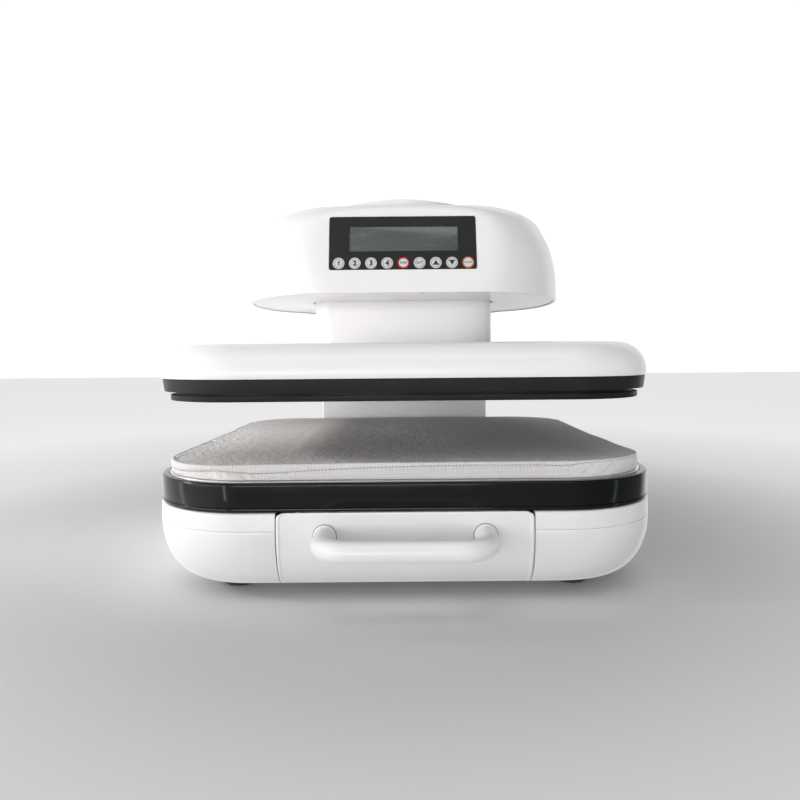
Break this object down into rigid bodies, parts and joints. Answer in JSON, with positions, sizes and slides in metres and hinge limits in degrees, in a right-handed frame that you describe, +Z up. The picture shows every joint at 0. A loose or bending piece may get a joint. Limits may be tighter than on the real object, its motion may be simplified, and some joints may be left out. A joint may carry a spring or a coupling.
{
  "type": "automatic heat press",
  "caption": "Desk-top automatic heat press: motor-driven heated platen under a domed head, and a pull-out padded lower platen on a bowl-shaped base.",
  "frame": {"origin": "on the table under the middle of the footprint, from the pull handle to the power entry", "axes": "+Z up, the control panel and the pull handle face -Y, +X to the right as seen from the front"},
  "size_m": [0.398, 0.5636, 0.3366],
  "materials": {
    "white_shell": "semi-gloss moulded ABS",
    "white_paint": "powder-coated sheet steel",
    "black_gloss": "polished black moulding",
    "black_matt": "fine-grained black moulding",
    "foot_rubber": "moulded rubber",
    "steel": "zinc-plated and machined steel",
    "bright_steel": "ground and plated steel",
    "cast_aluminium": "machined casting",
    "coated_casting": "dark non-stick coating over a casting",
    "bronze": "turned bronze",
    "silicone": "silicone sponge",
    "pad_fabric": "heat-resistant woven cover with sewn edge",
    "insulation": "fibre insulation board",
    "lcd": "grey-green display behind clear film",
    "circuit_board": "solder-masked laminate",
    "key_white": "satin light grey caps"
  },
  "bodies": {
    "base": {"base_lower_shell": "white_shell", "base_upper_cover": "white_shell", "head_cover": "white_shell", "head_floor": "white_shell", "column_cover": "white_paint", "control_panel": "black_gloss", "drive_motor": "black_matt", "power_inlet": "black_matt", "foot_front_left": "foot_rubber", "foot_front_right": "foot_rubber", "foot_rear_left": "foot_rubber", "foot_rear_right": "foot_rubber", "slide_channel": "steel", "frame_side_left": "steel", "frame_side_right": "steel", "head_plate": "steel", "column_brace": "steel", "slide_outer_left": "bright_steel", "slide_outer_right": "bright_steel", "guide_rod_left": "bright_steel", "guide_rod_right": "bright_steel", "screw_bearing": "bright_steel", "power_supply": "bright_steel", "lcd_screen": "lcd", "control_board": "circuit_board"},
    "platen": {"heat_plate": "coated_casting", "temperature_probe": "bright_steel", "platen_band": "black_matt", "insulation_board": "insulation", "platen_cover": "white_shell", "lift_shroud": "white_shell", "lift_yoke": "steel", "guide_bush_left": "bronze", "guide_bush_right": "bronze", "screw_nut": "bronze"},
    "screw": {"lead_screw": "bright_steel", "screw_gear": "steel"},
    "pinion": {"motor_pinion": "steel"},
    "tray": {"tray_rim": "black_gloss", "lower_plate": "cast_aluminium", "tray_carriage": "steel", "drawer_front": "white_shell", "pull_handle": "white_shell", "pad_cover": "pad_fabric", "silicone_pad": "silicone", "slide_inner_left": "bright_steel", "slide_inner_right": "bright_steel"},
    "slide_left": {"slide_middle_left": "bright_steel"},
    "slide_right": {"slide_middle_right": "bright_steel"},
    "rocker": {"power_rocker": "black_gloss"},
    "key_1": {"button_1": "key_white"},
    "key_2": {"button_2": "key_white"},
    "key_3": {"button_3": "key_white"},
    "key_4": {"button_4": "key_white"},
    "key_stop": {"button_stop": "key_white"},
    "key_set": {"button_set": "key_white"},
    "key_up": {"button_up": "key_white"},
    "key_down": {"button_down": "key_white"},
    "key_enter": {"button_enter": "key_white"}
  },
  "joints": [
    {"name": "platen_lift", "type": "slide", "parent": "base", "child": "platen", "axis": [0, 0, 1], "range_m": [-0.042, 0]},
    {"name": "screw_spin", "type": "hinge", "parent": "base", "child": "screw", "pos_m": [0, -0.02955, 0.25], "axis": [0, 0, 1], "range_deg": [0, 1515]},
    {"name": "pinion_spin", "type": "hinge", "parent": "base", "child": "pinion", "pos_m": [0, 0.04545, 0.3], "axis": [0, 0, 1], "range_deg": [-4540, 0]},
    {"name": "tray_slide", "type": "slide", "parent": "base", "child": "tray", "axis": [0, -1, 0], "range_m": [0, 0.24]},
    {"name": "slide_left_run", "type": "slide", "parent": "base", "child": "slide_left", "axis": [0, -1, 0], "range_m": [0, 0.12]},
    {"name": "slide_right_run", "type": "slide", "parent": "base", "child": "slide_right", "axis": [0, -1, 0], "range_m": [0, 0.12]},
    {"name": "rocker_tilt", "type": "hinge", "parent": "base", "child": "rocker", "pos_m": [0.062, 0.27625, 0.1304], "axis": [1, 0, 0], "range_deg": [-16, 0]},
    {"name": "press_1", "type": "slide", "parent": "base", "child": "key_1", "axis": [0, 0.9767, -0.2147], "range_m": [0, 0.0005], "stiffness_N_per_m": 600},
    {"name": "press_2", "type": "slide", "parent": "base", "child": "key_2", "axis": [0, 0.9767, -0.2147], "range_m": [0, 0.0005], "stiffness_N_per_m": 600},
    {"name": "press_3", "type": "slide", "parent": "base", "child": "key_3", "axis": [0, 0.9767, -0.2147], "range_m": [0, 0.0005], "stiffness_N_per_m": 600},
    {"name": "press_4", "type": "slide", "parent": "base", "child": "key_4", "axis": [0, 0.9767, -0.2147], "range_m": [0, 0.0005], "stiffness_N_per_m": 600},
    {"name": "press_stop", "type": "slide", "parent": "base", "child": "key_stop", "axis": [0, 0.9767, -0.2147], "range_m": [0, 0.0005], "stiffness_N_per_m": 600},
    {"name": "press_set", "type": "slide", "parent": "base", "child": "key_set", "axis": [0, 0.9767, -0.2147], "range_m": [0, 0.0005], "stiffness_N_per_m": 600},
    {"name": "press_up", "type": "slide", "parent": "base", "child": "key_up", "axis": [0, 0.9767, -0.2147], "range_m": [0, 0.0005], "stiffness_N_per_m": 600},
    {"name": "press_down", "type": "slide", "parent": "base", "child": "key_down", "axis": [0, 0.9767, -0.2147], "range_m": [0, 0.0005], "stiffness_N_per_m": 600},
    {"name": "press_enter", "type": "slide", "parent": "base", "child": "key_enter", "axis": [0, 0.9767, -0.2147], "range_m": [0, 0.0005], "stiffness_N_per_m": 600}
  ],
  "couplings": [
    {"joint": "screw_spin", "follows": "platen_lift", "rad_per_m": -628.32},
    {"joint": "pinion_spin", "follows": "platen_lift", "rad_per_m": 1885},
    {"joint": "slide_left_run", "follows": "tray_slide", "ratio": 0.5},
    {"joint": "slide_right_run", "follows": "tray_slide", "ratio": 0.5}
  ]
}
